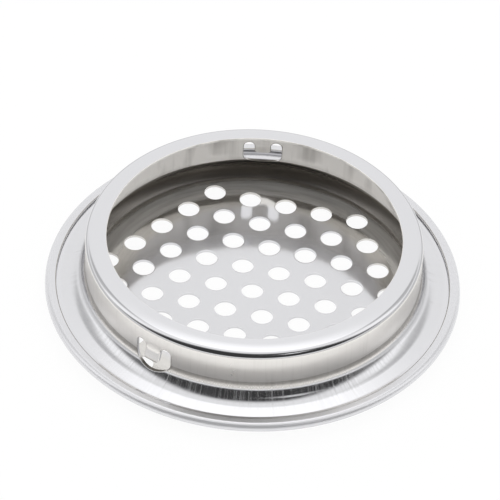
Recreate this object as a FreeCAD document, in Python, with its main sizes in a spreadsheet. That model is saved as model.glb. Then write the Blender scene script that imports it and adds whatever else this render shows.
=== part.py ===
"""Round vent cover: a perforated face plate whose rim is folded over the flange of a drawn collar.

The cover lies on its perforated face: Z is the axis of the collar, z = 0 the outside of the face.
"""
import FreeCAD, Part
import math
import os
import re

import Sketcher

# Driving sizes in millimetres, angles in degrees
SIZES = {
    # Collar ring
    "collar_sheet": 0.4,           # thickness of the collar's sheet
    "collar_radius": 25.0,         # outside of the wall, which goes through the panel's cut-out
    "cover_height": 11.65,         # face to the free edge of the lip
    "lip_width": 3.15,             # outside of the wall to the free edge of the lip
    "lip_slope": 9.0,              # the lip falls from its free edge to the corner
    "corner_radius": 1.1,          # outside of the bend from lip to wall
    "root_radius": 3.1,            # outside of the bend from wall to flange
    "flange_slope": 15.0,          # the flange falls from the root bend to the seat
    "flange_run": 1.21,            # sloping part of the flange, measured level
    "flange_bend_radius": 1.5,     # upper side of the bend where the flange runs flat
    "edge_gap": 0.05,              # flange edge to the start of the rim's fold
    # Perforated face plate
    "plate_sheet": 0.4,            # thickness of the plate's sheet
    "seat_height": 2.25,           # face to the top of the flat seat that carries the flange
    "seat_width": 2.1,             # flat seat and fold, out to the rim
    "seat_bend_radius": 1.0,       # outside of the bend where the border meets the seat
    "border_width": 4.3,           # seat back to the flat face
    "dish_bend_radius": 2.0,       # inside of the bend where the border leaves the face
    "hem_width": 1.7,              # rim to the free edge of the hem
    "hem_gap": 0.05,               # room between flange and hem
    "hole_pitch": 5.66,            # centre to centre, staggered at 60 degrees
    "hole_diameter": 3.3,
    "hole_margin": 0.25,           # least distance from a hole to the edge of the flat face
    # Spring tongues lanced out of the wall
    "slot_rise": 1.85,             # seat to the lowest point of the curved cut below a tongue
    "slot_bottom_radius": 4.4,     # curve of that cut
    "slot_width": 1.7,             # cut at each side of a tongue
    "tongue_gap": 1.85,            # lowest point of the cut to the tongue's free end
    "tongue_length": 1.75,         # free end to the bend line
    "tongue_width": 2.5,
    "tongue_corner": 0.5,          # rounding of the free end
    "tongue_flare": 0.6,           # how far the free end stands out of the wall
    "tongue_angle_a": 30.0,        # places round the collar
    "tongue_angle_b": 102.0,
    "tongue_angle_c": 250.0,
}

# Places that more than one feature uses, as expressions in the sizes above
LIP_ANGLE = "lip_slope * 1 deg"
FLANGE_ANGLE = "flange_slope * 1 deg"
BEND_DIFFERENCE = "(root_radius - flange_bend_radius)"
FLANGE_SPAN = f"flange_run - {BEND_DIFFERENCE} * sin({FLANGE_ANGLE})"
SEAT_RADIUS = f"(collar_radius + root_radius + {FLANGE_SPAN})"
RIM_RADIUS = f"({SEAT_RADIUS} + seat_width)"
FACE_RADIUS = f"({SEAT_RADIUS} - border_width)"
FOLD_SPACE = "(collar_sheet + hem_gap)"
FOLD_RADIUS = f"({FOLD_SPACE} / 2 + plate_sheet)"
FOLD_X = f"({RIM_RADIUS} - {FOLD_RADIUS})"
SLOT_BOTTOM = "(seat_height + slot_rise)"
TONGUE_END = f"({SLOT_BOTTOM} + tongue_gap)"
TONGUE_ROOT = f"({TONGUE_END} + tongue_length)"

HOLE_SECTORS = 6                   # a staggered pattern is the same six times round its middle
ACROSS, UP = range(-1, -3, -1)     # a sketch's horizontal and vertical axis
START, END, CENTRE = range(1, 4)   # points of a sketch's line or arc
ORIGIN = ACROSS, START             # a sketch's origin, as geometry and point

doc = FreeCAD.newDocument("round_vent_cover")
sheet = doc.addObject("Spreadsheet::Sheet", "Dims")
for row, (alias, number) in enumerate(SIZES.items(), start=1):
    sheet.set(f"A{row}", alias)
    sheet.set(f"B{row}", str(number))
    sheet.setAlias(f"B{row}", alias)
doc.recompute()


def bound(text):
    """An expression in size names, written for an object outside the sheet."""
    return re.sub(r"[a-z]\w*", lambda word: "Dims." + word[0] if word[0] in SIZES else word[0], text)


def value(text):
    return float(sheet.evalExpression(text))


def add_body(label):
    body = doc.addObject("PartDesign::Body", label)
    body.Label = label
    return body


def add_sketch(body, name, plane, turn=None):
    """A sketch on one of the body's origin planes, turned about the vertical if asked."""
    sketch = body.newObject("Sketcher::SketchObject", name)
    sketch.AttachmentSupport = [(next(f for f in body.Origin.OriginFeatures if f.Role == plane), "")]
    sketch.MapMode = "FlatFace"
    if turn:
        sketch.AttachmentOffset = FreeCAD.Placement(
            FreeCAD.Vector(), FreeCAD.Rotation(FreeCAD.Vector(0, 1, 0), value(turn)))
        sketch.setExpression("AttachmentOffset.Rotation.Angle", f"({bound(turn)}) * 1 deg")
    return sketch


def bind(sketch, kind, references, expression):
    """A dimension of the sketch that follows the sheet."""
    index = sketch.addConstraint(Sketcher.Constraint(kind, *references, value(expression)))
    sketch.setExpression(f"Constraints[{index}]", bound(expression))


def pin(sketch, geometry, point, across, up):
    """Place a point of the sketch by two expressions."""
    for kind, axis, expression in (("DistanceX", UP, across), ("DistanceY", ACROSS, up)):
        if expression == "0":
            sketch.addConstraint(Sketcher.Constraint("PointOnObject", geometry, point, axis))
        else:
            bind(sketch, kind, (*ORIGIN, geometry, point), expression)


def vector(across, up):
    return FreeCAD.Vector(across, up, 0)


def circle(centre, radius):
    return Part.Circle(vector(*centre), FreeCAD.Vector(0, 0, 1), radius)


def add_line(sketch, first, last):
    return sketch.addGeometry(Part.LineSegment(vector(*first), vector(*last)), False)


def add_arc(sketch, centre, radius, first, last):
    """An arc, anticlockwise from one angle to the other."""
    return sketch.addGeometry(Part.ArcOfCircle(circle(centre, radius), first, last), False)


def add_polygon(sketch, corners):
    """A closed outline of straight lines through corners given as expressions."""
    points = [tuple(value(text) for text in corner) for corner in corners]
    lines = [add_line(sketch, a, b) for a, b in zip(points, points[1:] + points[:1])]
    for line, after, corner in zip(lines, lines[1:] + lines[:1], corners):
        sketch.addConstraint(Sketcher.Constraint("Coincident", line, END, after, START))
        pin(sketch, line, START, *corner)


def add_side(sketch, start, bends, end):
    """One side of a bent sheet: straight runs tangent to its bends.

    A bend is (x, z, radius, turn), the turn +1 to the left and -1 to the right. The side is returned
    as the bends' arcs and the first and last point, each as geometry and point.
    """
    stations = [(*start, "0", 1), *bends, (*end, "0", 1)]
    places = [(value(x), value(z), turn * value(radius)) for x, z, radius, turn in stations]
    headings = []
    for (x, z, radius), (next_x, next_z, next_radius) in zip(places, places[1:]):
        reach = math.hypot(next_x - x, next_z - z)
        line_of_centres = math.atan2(next_z - z, next_x - x)
        headings.append(line_of_centres - math.asin((next_radius - radius) / reach))

    def touch(place, heading):
        x, z, radius = place
        return x + radius * math.sin(heading), z - radius * math.cos(heading)

    runs = [add_line(sketch, touch(a, heading), touch(b, heading))
            for a, b, heading in zip(places, places[1:], headings)]
    arcs = []
    for index, (x, z, radius, turn) in enumerate(bends):
        before, after = (heading - turn * math.pi / 2 for heading in headings[index:index + 2])
        first, last = (before, after) if turn > 0 else (after, before)
        arc = add_arc(sketch, places[index + 1][:2], value(radius), first, last)
        entry, leave = (START, END) if turn > 0 else (END, START)
        sketch.addConstraint(Sketcher.Constraint("Tangent", runs[index], END, arc, entry))
        sketch.addConstraint(Sketcher.Constraint("Tangent", arc, leave, runs[index + 1], START))
        bind(sketch, "Radius", (arc,), radius)
        arcs.append(arc)
    pin(sketch, runs[0], START, *start)
    pin(sketch, runs[-1], END, *end)
    return arcs, (runs[0], START), (runs[-1], END)


def add_bent_sheet(sketch, thickness, start, bends, end):
    """The closed section of a bent sheet, drawn along its underside.

    start and end are (x, z of the underside, z of the upper side); the upper side lies to the left.
    """
    upper = []
    for x, z, radius, turn in bends:
        change = "-" if turn > 0 else "+"
        upper.append((x, z, f"{radius} {change} {thickness}", turn))
    under_arcs, *under_ends = add_side(sketch, start[:2], bends, end[:2])
    upper_arcs, *upper_ends = add_side(sketch, start[::2], upper, end[::2])
    for arc, upper_arc, (x, z, _, _) in zip(under_arcs, upper_arcs, bends):
        pin(sketch, arc, CENTRE, x, z)
        sketch.addConstraint(Sketcher.Constraint("Coincident", arc, CENTRE, upper_arc, CENTRE))
    for (geometry, point), (upper_geometry, upper_point), (x, low, high) in zip(
            under_ends, upper_ends, (start, end)):
        cap = add_line(sketch, (value(x), value(low)), (value(x), value(high)))
        sketch.addConstraint(Sketcher.Constraint("Coincident", cap, START, geometry, point))
        sketch.addConstraint(Sketcher.Constraint("Coincident", cap, END, upper_geometry, upper_point))


def revolve(body, name, sketch, angle=None):
    """Turn a section about the vertical: all the way, or by an angle half to each side."""
    feature = body.newObject("PartDesign::Revolution", name)
    feature.Profile = sketch
    feature.ReferenceAxis = (sketch, ["V_Axis"])
    if angle:
        feature.Midplane = True
        feature.setExpression("Angle", bound(angle))
    else:
        feature.Angle = 360
    doc.recompute()
    return feature


def cut_through(body, name, sketch):
    """Cut the outline right through, on the side to which the sketch's normal points."""
    pocket = body.newObject("PartDesign::Pocket", name)
    pocket.Profile = sketch
    pocket.Type = "ThroughAll"
    pocket.Reversed = True
    doc.recompute()
    if not pocket.Shape.Volume < pocket.BaseFeature.Shape.Volume:
        raise RuntimeError(name + " cuts nothing")
    return pocket


def add_holes(body, name, places):
    """Round holes through the face at places given as pairs of expressions."""
    sketch = add_sketch(body, name + "_outline", "XY_Plane")
    for across, up in places:
        centre = value(across), value(up)
        hole = sketch.addGeometry(circle(centre, value("hole_diameter / 2")), False)
        bind(sketch, "Diameter", (hole,), "hole_diameter")
        pin(sketch, hole, CENTRE, across, up)
    return cut_through(body, name, sketch)


def make_face_plate():
    """A dished disc: flat face, border up to the seat, and the rim folded back over the flange."""
    body = add_body("face_plate")
    hem_under = f"seat_height + {FOLD_SPACE}"
    section = add_sketch(body, "plate_section", "XZ_Plane")
    add_bent_sheet(
        section, "plate_sheet",
        start=("0", "0", "plate_sheet"),
        bends=[
            (FACE_RADIUS, "plate_sheet + dish_bend_radius", "dish_bend_radius + plate_sheet", 1),
            (SEAT_RADIUS, "seat_height - plate_sheet - seat_bend_radius", "seat_bend_radius", -1),
            (FOLD_X, f"seat_height + {FOLD_SPACE} / 2", FOLD_RADIUS, 1),
        ],
        end=(f"{RIM_RADIUS} - hem_width", f"{hem_under} + plate_sheet", hem_under))
    revolve(body, "plate_disc", section)

    add_holes(body, "middle_hole", [("0", "0")])
    rings = int(value(f"({FACE_RADIUS} - hole_margin - hole_diameter / 2) / hole_pitch"))
    sector = []
    for ring in range(1, rings + 1):
        for step in range(ring):
            across = f"{ring - step / 2} * hole_pitch"
            up = f"{step} * hole_pitch * sin({360 / HOLE_SECTORS} deg)" if step else "0"
            sector.append((across, up))
    sector_holes = add_holes(body, "sector_holes", sector)
    pattern = body.newObject("PartDesign::PolarPattern", "hole_pattern")
    pattern.Originals = [sector_holes]
    pattern.Axis = (sector_holes.Profile[0], ["N_Axis"])
    pattern.Angle = 360
    pattern.Occurrences = HOLE_SECTORS
    body.Tip = pattern
    doc.recompute()
    return body


def add_slot_outline(sketch):
    """The cut round a tongue: two round-ended slots joined by a curve below the tongue's free end."""
    half, lobe, corner = value("tongue_width / 2"), value("slot_width / 2"), value("tongue_corner")
    root, end = value(TONGUE_ROOT), value(TONGUE_END)
    outer = half + 2 * lobe
    curve_radius = value("slot_bottom_radius")
    curve_centre = value(SLOT_BOTTOM) + curve_radius
    spread = math.asin(outer / curve_radius)
    low = curve_centre - curve_radius * math.cos(spread)

    down, right, left = -math.pi / 2, 0, math.pi
    bottom = add_arc(sketch, (0, curve_centre), curve_radius, down - spread, down + spread)
    pin(sketch, bottom, CENTRE, "0", f"{SLOT_BOTTOM} + slot_bottom_radius")
    bind(sketch, "Radius", (bottom,), "slot_bottom_radius")
    tip = add_line(sketch, (-(half - corner), end), (half - corner, end))
    sketch.addConstraint(Sketcher.Constraint("Horizontal", tip))
    bind(sketch, "DistanceY", (*ORIGIN, tip, START), TONGUE_END)
    for side in (1, -1):
        # The arcs run anticlockwise, so their two ends change places on the left
        outer_end, inner_end = (START, END) if side > 0 else (END, START)
        wall = add_line(sketch, (side * outer, low), (side * outer, root))
        lobe_arc = add_arc(sketch, (side * (half + lobe), root), lobe, right, left)
        flank = add_line(sketch, (side * half, root), (side * half, end + corner))
        from_angle, to_angle = (down, right) if side > 0 else (-left, down)
        corner_arc = add_arc(sketch, (side * (half - corner), end + corner), corner, from_angle, to_angle)
        for line in (wall, flank):
            sketch.addConstraint(Sketcher.Constraint("Vertical", line))
        pin(sketch, lobe_arc, CENTRE, f"{side} * (tongue_width + slot_width) / 2", TONGUE_ROOT)
        bind(sketch, "Radius", (lobe_arc,), "slot_width / 2")
        bind(sketch, "Radius", (corner_arc,), "tongue_corner")
        sketch.addConstraint(
            Sketcher.Constraint("Coincident", bottom, END if side > 0 else START, wall, START))
        sketch.addConstraint(Sketcher.Constraint("Tangent", wall, END, lobe_arc, outer_end))
        sketch.addConstraint(Sketcher.Constraint("Tangent", lobe_arc, inner_end, flank, START))
        sketch.addConstraint(Sketcher.Constraint("Tangent", flank, END, corner_arc, inner_end))
        sketch.addConstraint(
            Sketcher.Constraint("Tangent", corner_arc, outer_end, tip, END if side > 0 else START))


def add_tongue(body, name, angle):
    """Lance one spring tongue: open a window, lean a strip of sheet out of it, cut its outline."""
    facing, beside = f"{angle} + 90", angle
    half_window = "(tongue_width + slot_width) / 2"
    trim = "tongue_gap / 4"        # the strip is left this much too long, for the outline to cut
    strip_end = f"{TONGUE_END} - {trim}"
    lean = f"tongue_flare * (tongue_length + {trim}) / tongue_length"

    window = add_sketch(body, name + "_window", "XZ_Plane", facing)
    add_polygon(window, [(f"-({half_window})", strip_end), (half_window, strip_end),
                         (half_window, TONGUE_ROOT), (f"-({half_window})", TONGUE_ROOT)])
    cut_through(body, name + "_opening", window)

    strip = add_sketch(body, name + "_section", "XZ_Plane", beside)
    add_polygon(strip, [("collar_radius - collar_sheet", TONGUE_ROOT), ("collar_radius", TONGUE_ROOT),
                        (f"collar_radius + {lean}", strip_end),
                        (f"collar_radius - collar_sheet + {lean}", strip_end)])
    revolve(body, name + "_strip", strip, f"2 * asin({half_window} / collar_radius)")

    outline = add_sketch(body, name + "_outline", "XZ_Plane", facing)
    add_slot_outline(outline)
    return cut_through(body, name, outline)


def make_collar_ring():
    """A drawn ring: lip, collar wall, root bend and flange in one sheet, with three lanced tongues."""
    body = add_body("collar_ring")
    lip_x = "collar_radius - lip_width"
    corner_x = "collar_radius - corner_radius"
    corner_drop = f"(corner_radius + (lip_width - corner_radius) * sin({LIP_ANGLE})) / cos({LIP_ANGLE})"
    bend_z = "seat_height + collar_sheet + flange_bend_radius"
    root_x = "collar_radius + root_radius"
    root_z = f"{bend_z} + flange_run * tan({FLANGE_ANGLE}) + {BEND_DIFFERENCE} * cos({FLANGE_ANGLE})"
    section = add_sketch(body, "collar_section", "XZ_Plane")
    add_bent_sheet(
        section, "collar_sheet",
        start=(lip_x, f"cover_height - collar_sheet / cos({LIP_ANGLE})", "cover_height"),
        bends=[
            (corner_x, f"cover_height - {corner_drop}", "corner_radius - collar_sheet", -1),
            (root_x, root_z, "root_radius + collar_sheet", 1),
            (SEAT_RADIUS, bend_z, "flange_bend_radius + collar_sheet", 1),
        ],
        end=(f"{FOLD_X} - edge_gap", "seat_height", "seat_height + collar_sheet"))
    revolve(body, "collar_turned", section)
    for letter in "abc":
        body.Tip = add_tongue(body, "tongue_" + letter, "tongue_angle_" + letter)
    doc.recompute()
    return body


def check(parts):
    """Stop before anything is written if an object failed or a shape isn't one valid solid."""
    for item in doc.Objects:
        if {"Invalid", "Error"} & set(item.State):
            raise RuntimeError(f"{item.Name} failed: {item.State}")
        if item.isDerivedFrom("Sketcher::SketchObject") and item.solve() != 0:
            raise RuntimeError(item.Name + " has no solution")
    for part in parts:
        if part.Shape.isNull() or not part.Shape.isValid() or len(part.Shape.Solids) != 1:
            raise RuntimeError(part.Label + " isn't one valid solid")


parts = [make_face_plate(), make_collar_ring()]
check(parts)
os.makedirs("parts", exist_ok=True)
for part in parts:
    part.Shape.exportStep(f"parts/{part.Label}.step")
    print(part.Label, round(part.Shape.Volume, 1), "cubic millimetres")
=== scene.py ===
"""Looks of the round vent cover: finely meshed bright steel sheet on a white table.

Lengths are in millimetres until a mesh is made. A section of a sheet is drawn in (r, z).
A range (low, high) says where one look turns into another, and may run backwards. A band
(low, high, margin) fades to nothing within the margin on either side.
"""

import math

import bpy
import numpy as np
from mathutils import Matrix, Vector
from mathutils.geometry import delaunay_2d_cdt


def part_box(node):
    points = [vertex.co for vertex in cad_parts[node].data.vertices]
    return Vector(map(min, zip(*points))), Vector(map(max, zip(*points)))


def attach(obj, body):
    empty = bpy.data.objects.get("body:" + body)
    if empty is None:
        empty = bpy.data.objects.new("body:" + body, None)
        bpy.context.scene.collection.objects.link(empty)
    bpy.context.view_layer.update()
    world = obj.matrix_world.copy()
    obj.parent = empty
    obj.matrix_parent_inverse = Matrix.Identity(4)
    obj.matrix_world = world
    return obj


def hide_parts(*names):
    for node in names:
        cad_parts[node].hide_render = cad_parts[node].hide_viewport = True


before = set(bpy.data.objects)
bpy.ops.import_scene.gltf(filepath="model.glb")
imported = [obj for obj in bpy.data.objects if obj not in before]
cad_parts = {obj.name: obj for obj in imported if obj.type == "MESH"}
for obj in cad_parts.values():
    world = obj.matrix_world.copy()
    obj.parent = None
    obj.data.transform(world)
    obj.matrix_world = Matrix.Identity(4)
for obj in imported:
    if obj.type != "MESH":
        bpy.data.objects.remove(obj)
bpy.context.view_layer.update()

MM = 0.001

# Sizes taken from the frame
_, plate_high = (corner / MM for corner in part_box("face_plate"))
collar_low, collar_high = (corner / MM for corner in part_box("collar_ring"))
RIM_RADIUS = plate_high.x
HEM_TOP = plate_high.z
FLANGE_RADIUS = collar_high.x
SEAT_HEIGHT = collar_low.z
COVER_HEIGHT = collar_high.z

# Collar ring
SHEET = 0.4
COLLAR_RADIUS = 25.0
LIP_WIDTH = 3.15
LIP_INNER_WIDTH = 1.6       # the lip is crowned: it slopes more outside this
LIP_INNER_SLOPE = math.radians(6)
LIP_OUTER_SLOPE = math.radians(12)
LIP_CROWN_RADIUS = 12.0
CORNER_RADIUS = 1.1
ROOT_RADIUS = 3.1
FLANGE_SLOPE = math.radians(15)
FLANGE_BEND_RADIUS = 1.5
SEAT_WIDTH = 2.1
SEAT_RADIUS = RIM_RADIUS - SEAT_WIDTH
EDGE_ROUND = 0.1            # rounding of the cut edges of the sheet

# Perforated face plate
BORDER_WIDTH = 4.3
FACE_RADIUS = SEAT_RADIUS - BORDER_WIDTH
DISH_BEND_RADIUS = 2.0
SEAT_BEND_RADIUS = 1.0
HEM_WIDTH = 1.7
HEM_EDGE_ROUND = 0.2        # upper corner of the free edge
FOLD_ROUND = 0.85           # upper part of the rolled rim
HOLE_PITCH = 5.66
HOLE_RADIUS = 1.65
HOLE_RINGS = 4
HOLE_SIDES = 64
ROLL_WIDTH = 0.12           # the punch draws the sheet in round a hole
ROLL_DEPTH = 0.012
ROLL_STEPS = 3

# Spring tongues and the cuts round them
TONGUE_ANGLES = (30, 102, 250)
TONGUE_END = SEAT_HEIGHT + 3.7
TONGUE_ROOT = TONGUE_END + 1.75
TONGUE_HALF = 1.25
TONGUE_CORNER = 0.5
TONGUE_FLARE = 0.6
TONGUE_BEND = 0.5           # height of the bend at the root
SLOT_RADIUS = 0.85
SLOT_BOTTOM = SEAT_HEIGHT + 1.85
SLOT_BOTTOM_RADIUS = 4.4
SLOT_CORNER = 1.5           # rounding beside the bottom of a cut
CUT_ROLL = 0.4              # slope of the sheet at a cut's edge

# Mesh fineness
TURN_STEPS = 360            # one column of faces each degree
ARC_STEP = math.radians(4)
EDGE_ARC_STEP = math.radians(18)
CUT_ARC_STEP = math.radians(8)
RUN_STEP = 0.6
CUT_RUN_STEP = RUN_STEP / 3
PATCH_HALF = 9              # half the width of the patch round a tongue, in columns
PATCH_ABOVE = 0.5           # the patch reaches this far above and below the cut
PATCH_BELOW = 0.4
PATCH_TO_SEAT = 2.0         # and ends this far inside the seat
PATCH_UPRIGHT = 0.05        # least radial part of the normals in the patch
ROLLED_BAND = 0.15          # the sheet is rolled in this close to a cut
CLEAR_OF_BAND = 0.12        # no other mesh point lies closer to the band
SHARP = 0.02                # normals further apart than this make an edge
TOUCHING = 1e-6             # points closer than this are one
MARGIN = 1e-3               # allowed for points on a boundary

# Steel colours
BRIGHT_STEEL = 0.735, 0.735, 0.755
SATIN_STEEL = 0.91, 0.885, 0.848
# Warmer steel towards the collar
WARM_STEEL = 0.73, 0.71, 0.67
# Dark steel: the colour of the painted shade in the root bend's inside, at the cut edges, at the wall's foot
# and on the plate's border; random marks on the inner wall go towards it too
PAINTED_SHADE_AND_MARK_STEEL = 0.28, 0.26, 0.235

# Marks on the steel: how far apart they are round the axis, and how long along the section
STREAKS = 0.2, 5.0
RUBBED_MARKS = 0.7, 9.0
BROAD_MARKS = 3.0, 9.0
SMEARS = 9.0, 0.7
HEM_MARKS = 0.3, 3.0

# Settings of the marks' noise
FINE_STREAKS = {"roughness": 0.6}
FINE_HEM_MARKS = {"detail": 3.0, "roughness": 0.6}
MOTTLE = {"scale": 0.9, "detail": 3.0}
WAVES = {"scale": 0.16, "detail": 1.0}
GRAIN = {"scale": 2.0}

# Where the collar's finish changes
WALL_FACING = 0.90, 0.99
INSIDE_FACING = -0.1, -0.5
INSIDE_FOOT = 4.7, 4.9      # height at which the inner wall leaves the root bend
CUT_FACING = -0.35, 0.35, 0.1
CUT_HEIGHTS = 4.0, 9.0, 0.1
ROOT_HEIGHTS = 6.0, 4.6
ROOT_FACING = 0.0, 0.25
# The foot of the outer wall, where the colour is darkened as painted shade
WALL_FOOT_SHADE_FACING = 0.85, 0.95
WALL_FOOT_SHADE_HEIGHTS = 4.9, 5.9, 0.2
# The rolled edges of the cuts and the tongues' tips, where the colour is darkened as painted shade
ROLLED_SIDE_ASIDE = 0.15, 0.5, 0.08
ROLLED_SIDE_HEIGHTS = 5.0, 9.0, 0.1
ROLLED_TOP_TILT = 0.07, 0.15
ROLLED_TOP_HEIGHTS = TONGUE_ROOT + 0.3, TONGUE_ROOT + SLOT_RADIUS + ROLLED_BAND, 0.05
TONGUE_TIP_RADII = COLLAR_RADIUS + 0.50, COLLAR_RADIUS + 0.54
TONGUE_TIP_HEIGHTS = TONGUE_END - 0.05, TONGUE_END + 0.3, 0.05
SCRATCH_STREAKS = -0.1, 0.6     # streaks above this scratch the root bend
SCRATCH_HEIGHTS = 2.9, 3.4
SMEAR_STRENGTH = 0.0, 0.6       # smears above this dull the root bend's inside
SHADED_ANGLES = 9.0, 24.0       # degrees from a tongue
SHADED_HEIGHTS = 5.3, 6.8

# How much each mark counts in the collar's finish. A tone of 0 is the first of the finish's colours, and a
# tone of 1 is the last.
COLLAR_ROUGHNESS = {
    "all": 0.12, "wall": 0.17, "inside": 0.3, "cut": 0.4, "root": 0.06, "scored": 0.14, "broad": 0.03,
    "mottle": 0.02,
}
COLLAR_RELIEF = {"scored": 0.003, "broad_root": 0.01, "broad_inside": 0.1, "mottle_inside": 0.01}
WALL_TONE = 0.5
# The tones of the root bend's inside, the cut edges and the wall's foot darken the colour as painted shade
COLLAR_TONE = {
    "bend_with_painted_shade": 1.0, "painted_shade_at_cuts": 0.45, "rubbed_wall": 0.05, "streaked_wall": 0.05, "painted_shade_at_wall_foot": 0.28,
    "shaded": 0.24, "broad_inside": 0.35, "rubbed_inside": 0.12, "scored": 0.08,
}
COLLAR_DULLNESS = {"inside_wall": 0.85, "wall": 0.25, "cut": 0.6, "scratched": 0.26, "smeared_bend": 0.2}
COLLAR_ANISOTROPY = 0.85

# Where the plate's finish changes
OUTSIDE_RADII = FACE_RADIUS, FACE_RADIUS + 1
HEM_EDGE_FACING = -0.6, -0.9
BORDER_FACING = -0.6, -0.3, 0.15
FOLD_FACING = 0.1, 0.5
FACE_RIM_RADII = 22.0, 24.4, 0.8
HAZE_RADII = 18.0, 12.0
# A warmer zone towards the collar
WARM_ZONE_RADII = 20.0, 27.0, 2.0

# How much each mark counts in the plate's finish
PLATE_ROUGHNESS = {"all": 0.11, "outside": 0.16, "hem_edge": 0.3, "grain": 0.03}
PLATE_RELIEF = {"waves": 0.02, "hem_marks": 0.003}
# The border, in the collar's shadow, is darkened as painted shade
BORDER_SHADE_TONE = 0.9
WARM_ZONE_TONE = 0.4
GRAIN_TONE = 0.03
PLATE_DULLNESS = {
    "all": 0.07, "haze": 0.13, "hem_edge": 0.6, "fold": 0.35, "border": -0.07, "face_rim": 0.36,
    "smears": 0.22,
}

# Table
TABLE_HALF = 2000.0
TABLE_DROP = 0.02           # the table lies this far below the cover
TABLE_COLOUR = 0.95, 0.95, 0.95, 1
TABLE_GLOW = 0.93           # share of plain white for the camera and for reflections
TABLE_FADE_RADII = 42.0, 62.0   # reflections of the table fade away from the cover
TABLE_FAR_LEVEL = 0.62
WHITE = 1, 1, 1, 1

# Camera
CAMERA_AZIMUTH = math.radians(13.614)
CAMERA_ELEVATION = math.radians(42.66)
CAMERA_ROLL = math.radians(2.459)
CAMERA_DISTANCE = 471.93
CAMERA_AIM_RIGHT = -0.605
CAMERA_AIM_UP = 6.030
CAMERA_AIM_HEIGHT = SHEET
CAMERA_NEAR = 10.0
CAMERA_SENSOR = 36.0
CAMERA_LENS = 226.8

# Tent: heights are sines of the elevation, and other ranges are parts of a direction along these two
TO_FRONT = math.sin(CAMERA_AZIMUTH), -math.cos(CAMERA_AZIMUTH), 0
TO_RIGHT = math.cos(CAMERA_AZIMUTH), math.sin(CAMERA_AZIMUTH), 0
OVERHEAD_HEIGHTS = 0.81, 0.93
OVERHEAD_LEAN = -0.10, -0.22
OVERHEAD_LIGHT = 0.45
OPENING_SLANT = 0.9         # the opening narrows with the height
OPENING_EDGE = -0.30, 0.05
OPENING_FOOT = 0.06, 0.16
OPENING_TOP = 0.999, 0.86
OPENING_DARK = 0.95
LAMP_RIGHT = 0.44, 0.58, 0.08
LAMP_HEIGHTS = 0.68, 0.74, 0.04
LAMP_FRONT = 0.5, 0.6
LAMP_LIGHT = 1.3
SIDES_FRONT = -0.2, 0.2, 0.4
SIDES_HEIGHTS = 0.9, 0.6
SIDES_LIGHT = 0.2
FLANKS_FRONT = -0.62, -0.3, 0.12
FLANKS_HEIGHTS = 0.35, 0.8, 0.15
FLANKS_DARK = 0.45
HORIZON_HEIGHTS = 0.22, 0.10
HORIZON_BACK_END = -0.8, -0.3
HORIZON_FRONT_END = 0.5, 0.2
HORIZON_DARK = 0.3
DIFFUSE_LIGHT = 1.1         # least light on dull surfaces, from everywhere


def arc(centre, radius, first, last, step=ARC_STEP):
    """Points on an arc with their outward directions, from one angle to the other."""
    count = max(2, math.ceil(abs(last - first) / step) + 1)
    angles = np.linspace(first, last, count)
    away = np.column_stack([np.cos(angles), np.sin(angles)])
    return np.asarray(centre) + radius * away, away


def rounded_loop(corners):
    """A closed outline through (x, y, rounding) corners as points and left-hand normals."""
    places = np.array([corner[:2] for corner in corners], float)
    points, normals = [], []
    for index, (_, _, radius) in enumerate(corners):
        place, before, after = places[index], places[index - 1], places[(index + 1) % len(places)]
        arrive = (place - before) / np.linalg.norm(place - before)
        leave = (after - place) / np.linalg.norm(after - place)
        turn = math.atan2(arrive[0] * leave[1] - arrive[1] * leave[0], arrive @ leave)
        side = math.copysign(1, turn)
        left = np.array([-arrive[1], arrive[0]])
        centre = place - arrive * radius * math.tan(abs(turn) / 2) + left * side * radius
        first = math.atan2(*(-left * side)[::-1])
        step = EDGE_ARC_STEP if radius <= EDGE_ROUND else ARC_STEP
        bend, away = arc(centre, radius, first, first + turn, step)
        points.append(bend)
        normals.append(-side * away)
    loop, loop_normals = [], []
    for index, (bend, away) in enumerate(zip(points, normals)):
        loop.append(bend)
        loop_normals.append(away)
        following = points[(index + 1) % len(points)][0]
        pieces = max(1, round(np.linalg.norm(following - bend[-1]) / RUN_STEP))
        for part in range(1, pieces):
            loop.append(bend[-1:] + (following - bend[-1]) * part / pieces)
            loop_normals.append(away[-1:])
    return np.vstack(loop), np.vstack(loop_normals)


def offset_line(corners, distance):
    """The corners of an open line of (x, y), moved to its right by a distance."""
    places = np.array(corners, float)
    runs = np.diff(places, axis=0)
    runs /= np.linalg.norm(runs, axis=1)[:, None]
    right = np.column_stack([runs[:, 1], -runs[:, 0]])
    moved = [places[0] + right[0] * distance]
    for place, one, two in zip(places[1:-1], right, right[1:]):
        moved.append(place + (one + two) * distance / (1 + one @ two))
    moved.append(places[-1] + right[-1] * distance)
    return np.array(moved)


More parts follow.
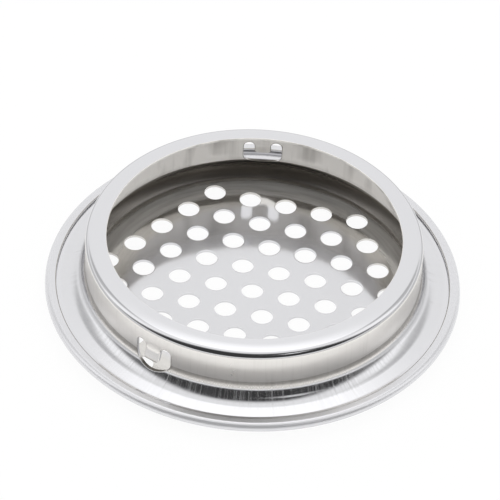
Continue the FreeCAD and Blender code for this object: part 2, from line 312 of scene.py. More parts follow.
def collar_section():
    """Outline of the collar's sheet: its upper side outwards, then its under side back."""
    lip = COLLAR_RADIUS - LIP_WIDTH
    flange_top = SEAT_HEIGHT + SHEET
    flange_start = SEAT_RADIUS - FLANGE_BEND_RADIUS * math.tan(FLANGE_SLOPE / 2)
    crown_height = COVER_HEIGHT - LIP_INNER_WIDTH * math.tan(LIP_INNER_SLOPE)
    upper = [
        (lip, COVER_HEIGHT),
        (lip + LIP_INNER_WIDTH, crown_height),
        (COLLAR_RADIUS, crown_height - (LIP_WIDTH - LIP_INNER_WIDTH) * math.tan(LIP_OUTER_SLOPE)),
        (COLLAR_RADIUS, flange_top + (flange_start - COLLAR_RADIUS) * math.tan(FLANGE_SLOPE)),
        (flange_start, flange_top),
        (FLANGE_RADIUS, flange_top),
    ]
    under = offset_line(upper, SHEET)
    under[0] = lip, COVER_HEIGHT - SHEET / math.cos(LIP_INNER_SLOPE)
    upper_rounds = EDGE_ROUND, LIP_CROWN_RADIUS, CORNER_RADIUS, ROOT_RADIUS, FLANGE_BEND_RADIUS, EDGE_ROUND
    under_rounds = (EDGE_ROUND, LIP_CROWN_RADIUS - SHEET, CORNER_RADIUS - SHEET, ROOT_RADIUS + SHEET,
                    FLANGE_BEND_RADIUS + SHEET, EDGE_ROUND)
    corners = [(*place, r) for place, r in zip(upper, upper_rounds)]
    corners += [(*place, r) for place, r in zip(under[::-1], under_rounds[::-1])]
    return rounded_loop(corners)


def border_slope():
    """Slope of the plate's border, which runs tangent to the bends at both its ends."""
    across = SEAT_RADIUS - FACE_RADIUS
    rise = (SEAT_HEIGHT - SHEET - SEAT_BEND_RADIUS) - (SHEET + DISH_BEND_RADIUS)
    radii = DISH_BEND_RADIUS + SHEET + SEAT_BEND_RADIUS
    return math.atan2(rise, across) + math.asin(radii / math.hypot(rise, across))


def plate_section():
    """Outline of the plate's sheet outside the flat face, upper side outwards and under side back."""
    half_turn = math.tan(border_slope() / 2)
    under_dish_bend = DISH_BEND_RADIUS + SHEET
    upper_seat_bend = SEAT_BEND_RADIUS + SHEET
    under_seat = SEAT_HEIGHT - SHEET
    fold_inside = RIM_RADIUS - SHEET
    hem_edge = RIM_RADIUS - HEM_WIDTH
    fold = (HEM_TOP - under_seat) / 2
    return rounded_loop([
        (FACE_RADIUS, SHEET, 0),
        (FACE_RADIUS + DISH_BEND_RADIUS * half_turn, SHEET, DISH_BEND_RADIUS),
        (SEAT_RADIUS - upper_seat_bend * half_turn, SEAT_HEIGHT, upper_seat_bend),
        (fold_inside, SEAT_HEIGHT, fold - SHEET),
        (fold_inside, HEM_TOP - SHEET, fold - SHEET),
        (hem_edge, HEM_TOP - SHEET, EDGE_ROUND),
        (hem_edge, HEM_TOP, HEM_EDGE_ROUND),
        (RIM_RADIUS, HEM_TOP, FOLD_ROUND),
        (RIM_RADIUS, under_seat, 2 * fold - FOLD_ROUND),
        (SEAT_RADIUS - SEAT_BEND_RADIUS * half_turn, under_seat, SEAT_BEND_RADIUS),
        (FACE_RADIUS + under_dish_bend * half_turn, 0, under_dish_bend),
        (FACE_RADIUS, 0, 0),
    ])


def add_object(name, data):
    """A new object in the scene."""
    made = bpy.data.objects.new(name, data)
    bpy.context.scene.collection.objects.link(made)
    return made


class Shell:
    """Points, faces and a normal for each corner of each face."""

    def __init__(self):
        self.points = []
        self.faces = []
        self.normals = []

    def add_points(self, places):
        """Add points and return their indices."""
        first = len(self.points)
        self.points.extend(map(tuple, places))
        return np.arange(first, len(self.points))

    def add_face(self, corners, normals):
        self.faces.append(tuple(int(corner) for corner in corners))
        self.normals.extend(map(tuple, normals))

    def sharp_edges(self):
        """Pairs of points where the normals of two faces differ."""
        seen, sharp = {}, set()
        corners = iter(self.normals)
        for face in self.faces:
            normals = [next(corners) for _ in face]
            for i, point in enumerate(face):
                after = (i + 1) % len(face)
                pair = frozenset((point, face[after]))
                here = {point: normals[i], face[after]: normals[after]}
                there = seen.setdefault(pair, here)
                if any(math.dist(here[p], there[p]) > SHARP for p in pair):
                    sharp.add(pair)
        return sharp

    def make(self, name):
        """An object of the faces and the points that they use."""
        used = np.unique(np.concatenate([np.array(face) for face in self.faces]))
        order = np.full(len(self.points), -1)
        order[used] = np.arange(len(used))
        mesh = bpy.data.meshes.new(name)
        points = np.array(self.points)[used] * MM
        mesh.from_pydata(points.tolist(), [], [order[list(face)].tolist() for face in self.faces])
        mesh.polygons.foreach_set("use_smooth", [True] * len(mesh.polygons))
        sharp = {frozenset(order[list(pair)].tolist()) for pair in self.sharp_edges()}
        mesh.edges.foreach_set("use_edge_sharp", [frozenset(edge.vertices) in sharp for edge in mesh.edges])
        mesh.normals_split_custom_set(self.normals)
        mesh.update()
        return add_object(name, mesh)


def turned(values, angles):
    """(r, z) values turned to every angle, as an array of columns by rows by three."""
    cosine, sine = np.cos(angles)[:, None], np.sin(angles)[:, None]
    r, z = values[:, 0], values[:, 1]
    return np.stack([cosine * r, sine * r, np.broadcast_to(z, (len(angles), len(r)))], axis=2)


def add_turned_loop(shell, section, normals, skip=lambda column, row: False, closed=True):
    """Turn a section about the axis; returns the point indices by column and row."""
    angles = np.radians(np.arange(TURN_STEPS) * 360 / TURN_STEPS)
    grid = shell.add_points(turned(section, angles).reshape(-1, 3)).reshape(TURN_STEPS, -1)
    away = turned(normals, angles)
    rows = len(section)
    for column in range(TURN_STEPS):
        beside = (column + 1) % TURN_STEPS
        for row in range(rows if closed else rows - 1):
            if skip(column, row):
                continue
            below = (row + 1) % rows
            corners = (column, row), (column, below), (beside, below), (beside, row)
            shell.add_face([grid[c] for c in corners], [away[c] for c in corners])
    return grid


def inside(points, polygon):
    """Which points lie inside a closed polygon."""
    x, y = points[:, 0][:, None], points[:, 1][:, None]
    ax, ay = polygon.T
    bx, by = np.roll(polygon, -1, axis=0).T
    crosses = (ay > y) != (by > y)
    at = ax + (y - ay) * (bx - ax) / np.where(by == ay, 1, by - ay)
    return (crosses & (x < at)).sum(axis=1) % 2 == 1


def distance_to(points, polygon):
    """Distance of each point to a closed polygon's edges."""
    start, along = polygon, np.roll(polygon, -1, axis=0) - polygon
    share = ((points[:, None] - start) * along).sum(axis=2) / (along ** 2).sum(axis=1)
    nearest = start + np.clip(share, 0, 1)[:, :, None] * along
    return np.linalg.norm(points[:, None] - nearest, axis=2).min(axis=1)


def widened(polygon, distance):
    """A closed polygon with its corners moved outwards."""
    along = np.roll(polygon, -1, axis=0) - np.roll(polygon, 1, axis=0)
    right = np.column_stack([along[:, 1], -along[:, 0]]) / np.linalg.norm(along, axis=1)[:, None]
    outward = np.sign(((polygon - polygon.mean(axis=0)) * right).sum(axis=1).mean())
    return polygon + distance * outward * right


def triangulated(places, edges):
    """Triangles between points in a plane, which keep the given edges."""
    _, _, triangles, *_ = delaunay_2d_cdt([Vector(place) for place in places], edges, [], 0, TOUCHING)
    return np.array(triangles)


def hole_centres():
    """A staggered pattern: a middle hole and six-sided rings round it."""
    centres = []
    for up in range(-HOLE_RINGS, HOLE_RINGS + 1):
        for across in range(-HOLE_RINGS, HOLE_RINGS + 1):
            if abs(up + across) <= HOLE_RINGS:
                centres.append((HOLE_PITCH * (across + up / 2), HOLE_PITCH * up * math.sin(math.pi / 3)))
    return np.array(centres)


def hole_section():
    """Section of the sheet at a hole's edge in (r, z): its upper side inwards, then its under side back."""
    slope = 2 * ROLL_DEPTH / ROLL_WIDTH
    share = np.linspace(0, 1, ROLL_STEPS + 1)
    r = HOLE_RADIUS + ROLL_WIDTH * (1 - share)
    normals = np.column_stack([-slope * share, np.ones(len(share))])
    normals /= np.linalg.norm(normals, axis=1)[:, None]
    upper = np.column_stack([r, SHEET - ROLL_DEPTH * share ** 2])
    under = np.column_stack([r, ROLL_DEPTH * share ** 2])[::-1]
    under_normals = (normals * (1, -1))[::-1]
    return upper, normals, under, under_normals


def add_hole(shell, centre):
    """The drawn-in edge of a hole; returns the points where it meets the flat face above and below."""
    turns = np.arange(HOLE_SIDES) * 2 * math.pi / HOLE_SIDES
    upper, upper_normals, under, under_normals = hole_section()
    wall_normals = np.array([(-1, 0), (-1, 0)])
    top, bottom = (
        shell.add_points((turned(part, turns) + (*centre, 0)).reshape(-1, 3)).reshape(HOLE_SIDES, -1)
        for part in (upper, under))
    wall = np.column_stack([top[:, -1], bottom[:, 0]])
    for strip, normals in ((top, upper_normals), (wall, wall_normals), (bottom, under_normals)):
        away = turned(normals, turns)
        for i in range(HOLE_SIDES):
            j = (i + 1) % HOLE_SIDES
            for row in range(strip.shape[1] - 1):
                corners = (i, row), (j, row), (j, row + 1), (i, row + 1)
                shell.add_face([strip[c] for c in corners], [away[c] for c in corners])
    return top[:, 0], bottom[:, -1]


def fill_face(shell, rim, rings, centres, facing):
    """One side of the flat face between its rim and the rings round its holes, facing up (1) or down (-1)."""
    loops = [rim, *rings]
    index = np.concatenate(loops)
    places = np.array([shell.points[i][:2] for i in index])
    edges, first = [], 0
    for loop in loops:
        edges += [(first + i, first + (i + 1) % len(loop)) for i in range(len(loop))]
        first += len(loop)
    triangles = triangulated(places, edges)
    middles = places[triangles].mean(axis=1)
    nearest = np.linalg.norm(middles[:, None] - centres, axis=2).min(axis=1)
    ring_radius = (HOLE_RADIUS + ROLL_WIDTH) * math.cos(math.pi / HOLE_SIDES)
    for triangle in triangles[nearest > ring_radius - MARGIN]:
        shell.add_face(index[triangle[::facing]], [(0, 0, facing)] * 3)


def make_face_plate():
    """The dished disc: a turned border and hem, and a flat face between the drawn-in edges of its holes."""
    shell = Shell()
    section, normals = plate_section()
    grid = add_turned_loop(shell, section, normals, closed=False)
    centres = hole_centres()
    upper_rings, under_rings = zip(*[add_hole(shell, centre) for centre in centres])
    fill_face(shell, grid[:, 0], upper_rings, centres, 1)
    fill_face(shell, grid[:, -1], under_rings, centres, -1)
    return shell.make("face_plate_sheet")


def slot_outline():
    """The cut round a tongue in (x along the wall, z), anticlockwise."""
    outer = TONGUE_HALF + 2 * SLOT_RADIUS
    middle = SLOT_BOTTOM + SLOT_BOTTOM_RADIUS
    spread = math.asin((outer - SLOT_CORNER) / (SLOT_BOTTOM_RADIUS - SLOT_CORNER))
    side_end = middle - (SLOT_BOTTOM_RADIUS - SLOT_CORNER) * math.cos(spread)
    down, right, left = -math.pi / 2, 0, math.pi
    lobe = TONGUE_HALF + SLOT_RADIUS
    corner = TONGUE_HALF - TONGUE_CORNER
    corner_height = TONGUE_END + TONGUE_CORNER
    stretches = [
        arc((SLOT_CORNER - outer, side_end), SLOT_CORNER, -left, down - spread, CUT_ARC_STEP),
        arc((0, middle), SLOT_BOTTOM_RADIUS, down - spread, down + spread, CUT_ARC_STEP / 2),
        arc((outer - SLOT_CORNER, side_end), SLOT_CORNER, down + spread, right, CUT_ARC_STEP),
        arc((lobe, TONGUE_ROOT), SLOT_RADIUS, right, left, CUT_ARC_STEP),
        arc((corner, corner_height), TONGUE_CORNER, right, down, CUT_ARC_STEP),
        arc((-corner, corner_height), TONGUE_CORNER, down, -left, CUT_ARC_STEP),
        arc((-lobe, TONGUE_ROOT), SLOT_RADIUS, right, left, CUT_ARC_STEP),
    ]
    sparse = np.vstack([points for points, _ in stretches])
    sparse = sparse[np.linalg.norm(np.roll(sparse, -1, axis=0) - sparse, axis=1) > TOUCHING]
    dense = []
    for place, after in zip(sparse, np.roll(sparse, -1, axis=0)):
        pieces = max(1, round(np.linalg.norm(after - place) / CUT_RUN_STEP))
        dense += [place + (after - place) * part / pieces for part in range(pieces)]
    return np.array(dense)


def tongue_lean(z):
    """How far the tongue stands out of the wall at a height, and its slope there."""
    slope = TONGUE_FLARE / (TONGUE_ROOT - TONGUE_END)
    below = np.clip(TONGUE_ROOT + TONGUE_BEND / 2 - z, 0, None)
    share = np.clip(below / TONGUE_BEND, 0, 1)
    in_bend = slope * below ** 2 / (2 * TONGUE_BEND)
    lean = np.where(below < TONGUE_BEND, in_bend, slope * (below - TONGUE_BEND / 2))
    return lean, slope * share


def add_tongue_patch(shell, grid, section, normals, column, rows):
    """Fill one side of the sheet round a tongue, with the cut open.

    The patch is laid out flat, as lengths round the wall and along the section, and then put on the wall.
    Returns the cut's points and the directions into the cut there.
    """
    run = section[rows]
    length = np.concatenate([[0], np.cumsum(np.linalg.norm(np.diff(run, axis=0), axis=1))])

    # The cut, and a band of sheet round it
    outline = slot_outline()
    by_height = np.argsort(run[:, 1])
    cut_along = np.interp(outline[:, 1], run[by_height, 1], length[by_height])
    cut_turn = np.arcsin(outline[:, 0] / np.interp(cut_along, length, run[:, 0]))
    cut = np.column_stack([cut_turn * COLLAR_RADIUS, cut_along])
    band = widened(cut, ROLLED_BAND)

    # The turned section's own points that are clear of the band
    columns = np.arange(column - PATCH_HALF, column + PATCH_HALF + 1)
    turns = np.radians(columns - column)
    flat = np.stack(np.meshgrid(turns * COLLAR_RADIUS, length, indexing="ij"), axis=2)
    border = np.zeros(flat.shape[:2], bool)
    border[[0, -1]] = True
    border[:, [0, -1]] = True
    flat = flat.reshape(-1, 2)
    keep = border.ravel() | (distance_to(flat, cut) > ROLLED_BAND + CLEAR_OF_BAND)
    flat = flat[keep]
    index = grid[columns % TURN_STEPS][:, rows].ravel()[keep]

    # Triangles between them, outside the cut
    places = np.vstack([flat, band, cut])
    band_start = len(flat)
    cut_start = band_start + len(band)
    edges = []
    for start in (band_start, cut_start):
        edges += [(start + i, start + (i + 1) % len(cut)) for i in range(len(cut))]
    triangles = triangulated(places, edges)
    triangles = triangles[~inside(places[triangles].mean(axis=1), cut)]

    # All of it on the round wall, with the tongue leaning out
    r, z = (np.interp(places[:, 1], length, run[:, axis]) for axis in (0, 1))
    normal_r, normal_z = (np.interp(places[:, 1], length, normals[rows, axis]) for axis in (0, 1))
    turn = places[:, 0] / COLLAR_RADIUS
    across = np.abs(r * np.sin(turn))
    on_tongue = (across < TONGUE_HALF + MARGIN) & (z < TONGUE_ROOT + SLOT_RADIUS)
    on_tongue &= z > TONGUE_END - MARGIN
    lean, slope = tongue_lean(z)
    r = r + np.where(on_tongue, lean, 0)
    normal_z = normal_z + np.where(on_tongue, slope, 0) * np.sign(normal_r)
    size = np.hypot(normal_r, normal_z)
    normal_r, normal_z = normal_r / size, normal_z / size
    around = math.radians(column) + turn
    solid = np.column_stack([r * np.cos(around), r * np.sin(around), z])
    away = np.column_stack([normal_r * np.cos(around), normal_r * np.sin(around), normal_z])

    # The sheet rolls over into the cut
    rim, rim_away = solid[cut_start:], away[cut_start:]
    along = np.roll(rim, -1, axis=0) - np.roll(rim, 1, axis=0)
    into_cut = np.cross(along, rim_away) * np.sign(normal_r[cut_start:])[:, None]
    into_cut /= np.linalg.norm(into_cut, axis=1)[:, None]
    away[cut_start:] = (rim_away + CUT_ROLL * into_cut) / math.hypot(1, CUT_ROLL)

    for place in np.flatnonzero(on_tongue[:band_start]):
        shell.points[index[place]] = tuple(solid[place])
    band_index = shell.add_points(solid[band_start:cut_start])
    cut_index = shell.add_points(solid[cut_start:])
    index = np.concatenate([index, band_index, cut_index])
    outward = normals[rows].mean(axis=0)[0] > 0
    rising = run[-1, 1] > run[0, 1]
    for triangle in triangles:
        a, b, c = places[triangle]
        area = (b[0] - a[0]) * (c[1] - a[1]) - (b[1] - a[1]) * (c[0] - a[0])
        flip = (area > 0) != (rising == outward)
        order = triangle[::-1] if flip else triangle
        shell.add_face(index[order], away[order])
    return cut_index, into_cut


def tongue_rows(section, normals):
    """The rows of the collar's section that the patches round the tongues take up, outside and inside."""
    r, z = section.T
    in_patch = (z < TONGUE_ROOT + SLOT_RADIUS + PATCH_ABOVE) & (z > SLOT_BOTTOM - PATCH_BELOW)
    in_patch &= r < SEAT_RADIUS - PATCH_TO_SEAT
    return [np.flatnonzero(in_patch & (side * normals[:, 0] > PATCH_UPRIGHT)) for side in (1, -1)]


def make_collar_ring():
    """The drawn ring: a turned section, with a patch at each tongue in which the cut is open."""
    shell = Shell()
    section, normals = collar_section()
    patch_rows = tongue_rows(section, normals)
    left_rows = {row for rows in patch_rows for row in rows[:-1]}
    left_columns = {
        (angle + step) % TURN_STEPS for angle in TONGUE_ANGLES for step in range(-PATCH_HALF, PATCH_HALF)}
    grid = add_turned_loop(
        shell, section, normals, skip=lambda column, row: column in left_columns and row in left_rows)
    for angle in TONGUE_ANGLES:
        (outer, into_cut), (inner, _) = (
            add_tongue_patch(shell, grid, section, normals, angle, rows) for rows in patch_rows)
        for i in range(len(outer)):
            j = (i + 1) % len(outer)
            shell.add_face([outer[i], inner[i], inner[j], outer[j]],
                           [into_cut[i], into_cut[i], into_cut[j], into_cut[j]])
    return shell.make("collar_ring_sheet")


class Nodes:
    """Short calls to fill a node tree."""

    def __init__(self, tree):
        self.tree = tree
        tree.nodes.clear()

    def add(self, kind, inputs=None, **settings):
        node = self.tree.nodes.new(kind)
        for name, setting in settings.items():
            setattr(node, name, setting)
        for name, source in (inputs or {}).items():
            self.feed(node.inputs[name], source)
        return node

    def feed(self, socket, source):
        """Give an input a constant, or the output that it is linked to."""
        if isinstance(source, bpy.types.NodeSocket):
            self.tree.links.new(source, socket)
        else:
            socket.default_value = source

    def math(self, operation, *sources):
        return self.add("ShaderNodeMath", dict(enumerate(sources)), operation=operation).outputs[0]

    def vector(self, operation, *sources, **inputs):
        """A vector calculation. A length or a dot product gives a number."""
        node = self.add("ShaderNodeVectorMath", {**dict(enumerate(sources)), **inputs}, operation=operation)
        return node.outputs["Value" if operation in ("LENGTH", "DOT_PRODUCT") else "Vector"]

    def upward(self, vector):
        """The part of a vector along the axis."""
        return self.add("ShaderNodeSeparateXYZ", {0: vector}).outputs["Z"]

    def ramp(self, source, low, high, first=0.0, last=1.0):
        """Smooth change from one value to another as the source goes from low to high."""
        return self.add("ShaderNodeMapRange", {
            "Value": source, "From Min": low, "From Max": high, "To Min": first, "To Max": last,
        }, interpolation_type="SMOOTHSTEP").outputs["Result"]

    def between(self, source, low, high, margin):
        """One between two values of the source, fading to nothing within a margin outside them."""
        return self.scaled(self.ramp(source, low - margin, low), self.ramp(source, high + margin, high))

    def noise(self, vector, scale=1.0, detail=2.0, roughness=0.5):
        """Noise from about -1 to 1."""
        node = self.add("ShaderNodeTexNoise", {
            "Vector": vector, "Scale": scale, "Detail": detail, "Roughness": roughness})
        return self.math("MULTIPLY_ADD", node.outputs["Fac"], 2.0, -1.0)

    def total(self, *terms):
        result = terms[0]
        for term in terms[1:]:
            result = self.math("ADD", result, term)
        return result

    def scaled(self, source, *factors):
        for factor in factors:
            source = self.math("MULTIPLY", source, factor)
        return source

    def largest(self, *sources):
        result = sources[0]
        for source in sources[1:]:
            result = self.math("MAXIMUM", result, source)
        return result

    def raised(self, level, share, amount):
        """A level with so much more where the share is one."""
        return self.math("MULTIPLY_ADD", share, amount, level)

    def darkened(self, level, share, part):
        """A level that loses this part of itself where the share is one."""
        return self.scaled(level, self.raised(1.0, share, -part))

    def weighted(self, weights, marks):
        """The sum of the marks times their weights. The weight of "all" counts everywhere."""
        return self.total(*[
            weight if name == "all" else self.scaled(marks[name], weight)
            for name, weight in weights.items()])


class SteelNodes(Nodes):
    """A steel material's nodes, with the places on a turned piece that its marks follow.

    facing is 1 where the surface faces away from the axis and -1 where it faces the axis. aside and tilt
    grow as it turns round the axis, and up or down.
    """

    def __init__(self, material):
        material.use_nodes = True
        super().__init__(material.node_tree)
        self.place = self.vector("SCALE", self.add("ShaderNodeTexCoord").outputs["Object"], Scale=1 / MM)
        x, y, self.z = self.add("ShaderNodeSeparateXYZ", {0: self.place}).outputs
        flat = self.add("ShaderNodeCombineXYZ", {"X": x, "Y": y}).outputs[0]
        self.r = self.vector("LENGTH", flat)
        self.outward = self.vector("NORMALIZE", flat)
        normal = self.add("ShaderNodeNewGeometry").outputs["Normal"]
        self.facing = self.vector("DOT_PRODUCT", normal, self.outward)
        self.aside = self.math("ABSOLUTE", self.upward(self.vector("CROSS_PRODUCT", self.outward, normal)))
        self.tilt = self.math("ABSOLUTE", self.upward(normal))

    def along_section(self, spacing, length):
        """A vector for marks that run along the section, this far apart and this long."""
        around = self.vector("SCALE", self.outward, Scale=COLLAR_RADIUS / spacing)
        lift = self.scaled(self.total(self.z, self.r), 1 / length)
        return self.vector("ADD", around, self.add("ShaderNodeCombineXYZ", {"Z": lift}).outputs[0])

    def beside_tongues(self, near, far):
        """One half-way between two angles from a tongue, in degrees, fading to nothing at both."""
        middle, margin = (near + far) / 2, (far - near) / 2
        shares = []
        for angle in np.radians(TONGUE_ANGLES):
            cosine = self.vector("DOT_PRODUCT", self.outward, (math.cos(angle), math.sin(angle), 0))
            away = self.math("DEGREES", self.math("ARCCOSINE", cosine))
            shares.append(self.between(away, middle, middle, margin))
        return self.total(*shares)

    def shade(self, share, first, *others):
        """A colour that goes through evenly spaced colours as the share goes from 0 to 1."""
        node = self.add("ShaderNodeValToRGB", {"Fac": share})
        stops = node.color_ramp.elements
        stops[0].color = (*first, 1)
        stops.remove(stops[1])
        for index, colour in enumerate(others, start=1):
            stops.new(index / len(others)).color = (*colour, 1)
        return node.outputs["Color"]

    def finish(self, colour, roughness, relief, dullness, anisotropy=0.0):
        """Metal with a relief in millimetres, less metallic where it is dull.

        With anisotropy, its reflections blur differently round the axis and across.
        """
        shader = self.add("ShaderNodeBsdfPrincipled", {
            "Base Color": colour, "Metallic": self.math("SUBTRACT", 1.0, dullness), "Roughness": roughness,
            "Anisotropic": anisotropy})
        tangent = self.add("ShaderNodeTangent", direction_type="RADIAL", axis="Z")
        self.feed(shader.inputs["Tangent"], tangent.outputs[0])
        bump = self.add("ShaderNodeBump", {"Strength": 1.0, "Distance": MM, "Height": relief})
        self.feed(shader.inputs["Normal"], bump.outputs[0])
        self.add("ShaderNodeOutputMaterial", {"Surface": shader.outputs["BSDF"]})


def drawn_collar():
    """Bright lip, satin wall, dark edges at the cuts, and marks of the drawing tool down the root bend."""
    material = bpy.data.materials.new("drawn_collar")
    nodes = SteelNodes(material)
    wall = nodes.ramp(nodes.facing, *WALL_FACING)
    inside_ring = nodes.ramp(nodes.facing, *INSIDE_FACING)
    inside_wall = nodes.scaled(inside_ring, nodes.ramp(nodes.z, *INSIDE_FOOT))
    # The inside of the root bend: its colour is darkened there as painted shade
    bend_with_painted_shade = nodes.scaled(inside_ring, nodes.ramp(nodes.z, *reversed(INSIDE_FOOT)))
    root = nodes.scaled(nodes.ramp(nodes.z, *ROOT_HEIGHTS), nodes.ramp(nodes.facing, *ROOT_FACING))
    rolled_sides = nodes.scaled(
        nodes.between(nodes.aside, *ROLLED_SIDE_ASIDE), nodes.between(nodes.z, *ROLLED_SIDE_HEIGHTS))
    rolled_tops = nodes.scaled(
        nodes.ramp(nodes.tilt, *ROLLED_TOP_TILT), nodes.between(nodes.z, *ROLLED_TOP_HEIGHTS))
    tongue_tips = nodes.scaled(
        nodes.ramp(nodes.r, *TONGUE_TIP_RADII), nodes.between(nodes.z, *TONGUE_TIP_HEIGHTS))
    streaks = nodes.noise(nodes.along_section(*STREAKS), **FINE_STREAKS)
    rubbed = nodes.noise(nodes.along_section(*RUBBED_MARKS))
    broad = nodes.noise(nodes.along_section(*BROAD_MARKS))
    smears = nodes.noise(nodes.along_section(*SMEARS))
    mottle = nodes.noise(nodes.place, **MOTTLE)
    marks = {
        "wall": wall,
        "inside": inside_ring,
        "inside_wall": inside_wall,
        "bend_with_painted_shade": bend_with_painted_shade,
        "root": root,
        "cut": nodes.scaled(nodes.between(nodes.facing, *CUT_FACING), nodes.between(nodes.z, *CUT_HEIGHTS)),
        # painted shade at the cut edges and the tongues' tips
        "painted_shade_at_cuts": nodes.largest(rolled_sides, rolled_tops, tongue_tips),
        # painted shade at the foot of the outer wall
        "painted_shade_at_wall_foot": nodes.scaled(
            nodes.ramp(nodes.facing, *WALL_FOOT_SHADE_FACING), nodes.between(nodes.z, *WALL_FOOT_SHADE_HEIGHTS)),
        "shaded": nodes.scaled(
            nodes.beside_tongues(*SHADED_ANGLES), inside_wall, nodes.ramp(nodes.z, *SHADED_HEIGHTS)),
        "scored": nodes.scaled(streaks, root),
        "scratched": nodes.scaled(
            nodes.ramp(streaks, *SCRATCH_STREAKS), root, nodes.ramp(nodes.z, *SCRATCH_HEIGHTS)),
        "streaked_wall": nodes.scaled(streaks, wall),
        "rubbed_wall": nodes.scaled(rubbed, wall),
        "rubbed_inside": nodes.scaled(rubbed, inside_wall),
        "broad": broad,
        "broad_root": nodes.scaled(broad, root),
        "broad_inside": nodes.scaled(broad, inside_wall),
        "mottle": mottle,
        "mottle_inside": nodes.scaled(mottle, inside_wall),
        "smeared_bend": nodes.scaled(bend_with_painted_shade, nodes.ramp(smears, *SMEAR_STRENGTH)),
    }
    wall_tone = nodes.scaled(nodes.largest(wall, inside_wall), WALL_TONE)
    tone = nodes.largest(wall_tone, nodes.total(wall_tone, nodes.weighted(COLLAR_TONE, marks)))
    nodes.finish(
        nodes.shade(tone, BRIGHT_STEEL, SATIN_STEEL, PAINTED_SHADE_AND_MARK_STEEL),
        nodes.weighted(COLLAR_ROUGHNESS, marks),
        nodes.weighted(COLLAR_RELIEF, marks),
        nodes.weighted(COLLAR_DULLNESS, marks),
        COLLAR_ANISOTROPY)
    return material


def bright_plate():
    """Hazy bright face, a little wavy from the punching, with painted shade on its border, a warmer zone
    towards the collar and a duller hem.
    """
    material = bpy.data.materials.new("bright_plate")
    nodes = SteelNodes(material)
    outside = nodes.ramp(nodes.r, *OUTSIDE_RADII)
    border = nodes.scaled(outside, nodes.between(nodes.facing, *BORDER_FACING))
    warm_zone = nodes.between(nodes.r, *WARM_ZONE_RADII)
    hem_marks = nodes.noise(nodes.along_section(*HEM_MARKS), **FINE_HEM_MARKS)
    grain = nodes.scaled(nodes.noise(nodes.place, **GRAIN), nodes.math("SUBTRACT", 1.0, outside))
    marks = {
        "outside": outside,
        "border": border,
        "hem_edge": nodes.scaled(outside, nodes.ramp(nodes.facing, *HEM_EDGE_FACING)),
        "hem_marks": nodes.scaled(hem_marks, outside),
        "fold": nodes.scaled(outside, nodes.ramp(nodes.facing, *FOLD_FACING)),
        "face_rim": nodes.between(nodes.r, *FACE_RIM_RADII),
        "haze": nodes.ramp(nodes.r, *HAZE_RADII),
        "smears": nodes.scaled(nodes.noise(nodes.along_section(*SMEARS)), warm_zone),
        "waves": nodes.noise(nodes.place, **WAVES),
        "grain": grain,
    }
    # Painted shade on the border, and the warmer zone towards the collar
    painted_shade_and_warm_zone = nodes.largest(nodes.scaled(border, BORDER_SHADE_TONE), nodes.scaled(warm_zone, WARM_ZONE_TONE))
    tone = nodes.total(painted_shade_and_warm_zone, nodes.scaled(grain, GRAIN_TONE))
    nodes.finish(
        nodes.shade(tone, BRIGHT_STEEL, WARM_STEEL, PAINTED_SHADE_AND_MARK_STEEL),
        nodes.weighted(PLATE_ROUGHNESS, marks),
        nodes.weighted(PLATE_RELIEF, marks),
        nodes.weighted(PLATE_DULLNESS, marks))
    return material


def add_floor():
    """White table: it keeps some of the cover's shadow, and in reflections it fades away from the cover."""
    size = np.array([TABLE_HALF, TABLE_HALF, TABLE_DROP]) * MM
    corners = np.array([(-1, -1, -1), (1, -1, -1), (1, 1, -1), (-1, 1, -1)]) * size
    mesh = bpy.data.meshes.new("floor")
    mesh.from_pydata(corners.tolist(), [], [range(len(corners))])
    floor = add_object("floor", mesh)
    material = bpy.data.materials.new("white_table")
    material.use_nodes = True
    nodes = Nodes(material.node_tree)
    path = nodes.add("ShaderNodeLightPath").outputs
    place = nodes.vector("SCALE", nodes.add("ShaderNodeTexCoord").outputs["Object"], Scale=1 / MM)
    fading = nodes.ramp(nodes.vector("LENGTH", place), *TABLE_FADE_RADII, 1.0, TABLE_FAR_LEVEL)
    level = nodes.largest(path["Is Camera Ray"], fading)
    seen = nodes.largest(path["Is Camera Ray"], path["Is Glossy Ray"])
    table = nodes.add("ShaderNodeBsdfDiffuse", {"Color": TABLE_COLOUR})
    glow = nodes.add("ShaderNodeEmission", {"Color": WHITE, "Strength": level})
    mix = nodes.add("ShaderNodeMixShader", {
        0: nodes.scaled(seen, TABLE_GLOW), 1: table.outputs[0], 2: glow.outputs[0]})
    nodes.add("ShaderNodeOutputMaterial", {"Surface": mix.outputs[0]})
    floor.data.materials.append(material)


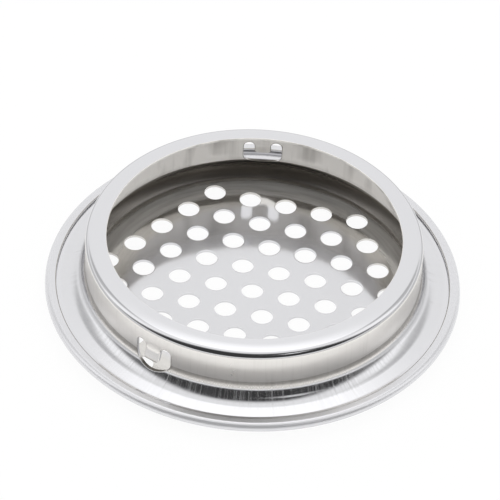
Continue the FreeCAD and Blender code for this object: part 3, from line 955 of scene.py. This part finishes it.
def add_world():
    """White tent: brighter at its sides and high up behind, darker on the flanks between them and low down.

    A dark opening is in front, where the camera stands, with one small lamp in it.
    """
    world = bpy.data.worlds.new("tent")
    bpy.context.scene.world = world
    world.use_nodes = True
    nodes = Nodes(world.node_tree)
    direction = nodes.add("ShaderNodeTexCoord").outputs["Generated"]
    height = nodes.upward(direction)
    bearing = nodes.vector("NORMALIZE", nodes.vector("MULTIPLY", direction, (1, 1, 0)))
    front = nodes.vector("DOT_PRODUCT", bearing, TO_FRONT)
    right = nodes.vector("DOT_PRODUCT", bearing, TO_RIGHT)
    lean = nodes.vector("DOT_PRODUCT", direction, TO_FRONT)
    overhead = nodes.scaled(nodes.ramp(height, *OVERHEAD_HEIGHTS), nodes.ramp(lean, *OVERHEAD_LEAN))
    opening = nodes.scaled(
        nodes.ramp(nodes.raised(front, height, -OPENING_SLANT), *OPENING_EDGE),
        nodes.ramp(height, *OPENING_FOOT),
        nodes.ramp(height, *OPENING_TOP))
    lamp = nodes.scaled(
        nodes.between(right, *LAMP_RIGHT),
        nodes.between(height, *LAMP_HEIGHTS),
        nodes.ramp(front, *LAMP_FRONT))
    sides = nodes.scaled(nodes.between(front, *SIDES_FRONT), nodes.ramp(height, *SIDES_HEIGHTS))
    flanks = nodes.scaled(nodes.between(front, *FLANKS_FRONT), nodes.between(height, *FLANKS_HEIGHTS))
    horizon = nodes.scaled(
        nodes.ramp(height, *HORIZON_HEIGHTS),
        nodes.ramp(front, *HORIZON_BACK_END),
        nodes.ramp(front, *HORIZON_FRONT_END))
    level = nodes.raised(1.0, overhead, OVERHEAD_LIGHT)
    level = nodes.darkened(level, opening, OPENING_DARK)
    level = nodes.raised(level, lamp, LAMP_LIGHT)
    level = nodes.raised(level, sides, SIDES_LIGHT)
    level = nodes.darkened(level, flanks, FLANKS_DARK)
    level = nodes.darkened(level, horizon, HORIZON_DARK)
    path = nodes.add("ShaderNodeLightPath").outputs
    even = nodes.raised(path["Is Camera Ray"], path["Is Diffuse Ray"], DIFFUSE_LIGHT)
    background = nodes.add("ShaderNodeBackground", {"Color": WHITE, "Strength": nodes.largest(level, even)})
    nodes.add("ShaderNodeOutputWorld", {"Surface": background.outputs[0]})


def add_camera():
    """The photograph's camera."""
    right = Vector(TO_RIGHT)
    back = Vector(TO_FRONT) * math.cos(CAMERA_ELEVATION)
    back.z = math.sin(CAMERA_ELEVATION)
    up = back.cross(right)
    place = right * CAMERA_AIM_RIGHT + up * CAMERA_AIM_UP + back * CAMERA_DISTANCE
    place.z += CAMERA_AIM_HEIGHT
    cosine, sine = math.cos(CAMERA_ROLL), math.sin(CAMERA_ROLL)
    axes = right * cosine + up * sine, up * cosine - right * sine, back
    data = bpy.data.cameras.new("camera")
    data.sensor_width = CAMERA_SENSOR
    data.lens = CAMERA_LENS
    data.clip_start = CAMERA_NEAR * MM
    camera = add_object("camera", data)
    camera.matrix_world = Matrix.Translation(place * MM) @ Matrix(axes).transposed().to_4x4()
    bpy.context.scene.camera = camera


bpy.context.scene.view_settings.view_transform = "Standard"
plate = make_face_plate()
plate.data.materials.append(bright_plate())
collar = make_collar_ring()
collar.data.materials.append(drawn_collar())
for piece, node, slot in ((plate, "face_plate", "bright_plate"), (collar, "collar_ring", "drawn_collar")):
    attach(piece, "root")
    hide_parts(node)
add_floor()
add_world()
add_camera()
